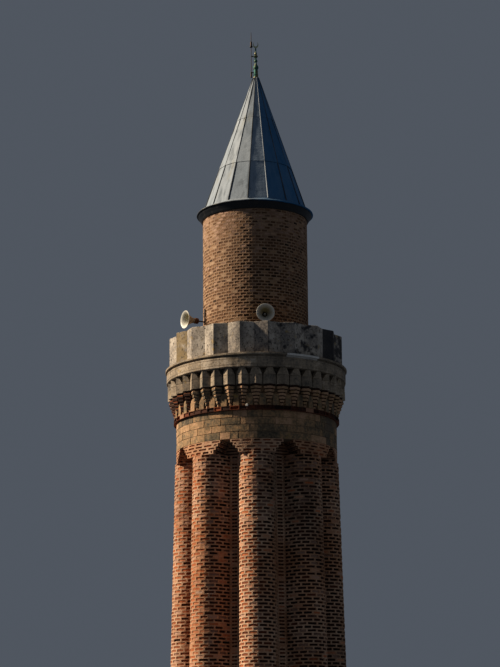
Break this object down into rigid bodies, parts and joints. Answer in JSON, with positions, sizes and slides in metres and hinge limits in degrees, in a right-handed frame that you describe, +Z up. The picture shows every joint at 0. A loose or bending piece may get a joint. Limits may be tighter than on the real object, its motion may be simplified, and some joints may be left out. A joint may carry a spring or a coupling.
{
  "type": "fluted brick minaret",
  "caption": "Tall fluted brick minaret on a square stone base, with an octagonal drum, a corbelled balcony with a folded stone parapet, a round upper stage and a lead cone.",
  "frame": {"origin": "on the tower's axis at ground level, on the underside of the stone floor", "axes": "+Z up the tower, -Y out of the doorway of the base and towards the picture's viewer, +X to that viewer's right"},
  "size_m": [6.6, 6.6, 38.3103],
  "materials": {
    "shaft_brick": "weathered red-brown brick in thick cream mortar",
    "upper_brick": "weathered tan brick with eroded joints",
    "ashlar": "rough weathered ochre stone blocks",
    "pale_stone": "weathered cream-grey stone with lichen",
    "lead_sheet": "dull grey sheet with standing seams",
    "dark_moulding": "matt near-black metal moulding",
    "gilt_patina": "old gilding under green patina",
    "horn_enamel": "chalky grey-white enamel",
    "dark_iron": "dark weathered iron"
  },
  "bodies": {
    "root": {"ground_floor": "ashlar", "base_back_wall": "ashlar", "base_left_wall": "ashlar", "base_right_wall": "ashlar", "base_front_left": "ashlar", "base_front_right": "ashlar", "base_over_door": "ashlar", "broach_course": "ashlar", "drum_panel_1": "shaft_brick", "drum_panel_2": "shaft_brick", "drum_panel_3": "shaft_brick", "drum_panel_4": "shaft_brick", "drum_panel_5": "shaft_brick", "drum_panel_6": "shaft_brick", "drum_panel_7": "shaft_brick", "drum_panel_8": "shaft_brick", "drum_cornice": "pale_stone", "flute_1": "shaft_brick", "flute_2": "shaft_brick", "flute_3": "shaft_brick", "flute_4": "shaft_brick", "flute_5": "shaft_brick", "flute_6": "shaft_brick", "flute_7": "shaft_brick", "flute_8": "shaft_brick", "stone_collar": "ashlar", "corbel_ring": "shaft_brick", "bracket_ring": "pale_stone", "cornice_ring": "pale_stone", "balcony_floor": "pale_stone", "parapet": "pale_stone", "upper_wall_front": "upper_brick", "upper_wall_left": "upper_brick", "upper_wall_right": "upper_brick", "upper_wall_over_door": "upper_brick", "eave_moulding": "dark_moulding", "cone_roof": "lead_sheet", "finial_stem": "gilt_patina", "finial_crescent": "gilt_patina", "lightning_rod": "dark_iron", "front_horn": "horn_enamel", "front_horn_bracket": "dark_iron", "left_horn": "horn_enamel", "left_horn_pole": "dark_iron"}
  },
  "joints": []
}
